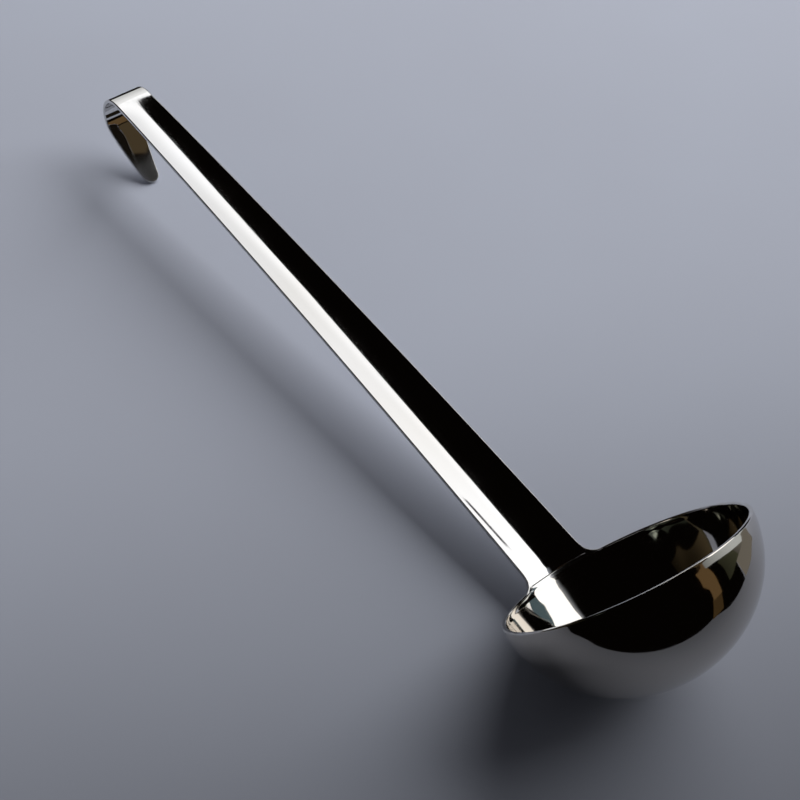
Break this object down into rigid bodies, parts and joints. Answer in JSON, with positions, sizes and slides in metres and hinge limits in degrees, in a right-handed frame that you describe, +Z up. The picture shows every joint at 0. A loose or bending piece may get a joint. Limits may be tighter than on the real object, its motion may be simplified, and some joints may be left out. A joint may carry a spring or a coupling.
{
  "type": "soup ladle",
  "caption": "Soup ladle of polished sheet steel with a round deep bowl and a long tapered handle that ends in a hanging hook.",
  "frame": {"origin": "on the table under the middle of the lying ladle: centre of the bounding box's bottom face", "axes": "+Z up from the table, +X along the ladle from the bowl to the hook, and the plane Y = 0 is its mirror plane"},
  "size_m": [0.354, 0.09, 0.0788],
  "materials": {
    "bowl_steel": "mirror polish with fine wear scratches",
    "handle_steel": "mirror polish with fine lengthwise wear scratches",
    "weld_steel": "dressed and polished weld, a little softer than the sheet beside it"
  },
  "bodies": {
    "root": {"bowl": "bowl_steel", "handle": "handle_steel", "weld_seam": "weld_steel"}
  },
  "joints": []
}
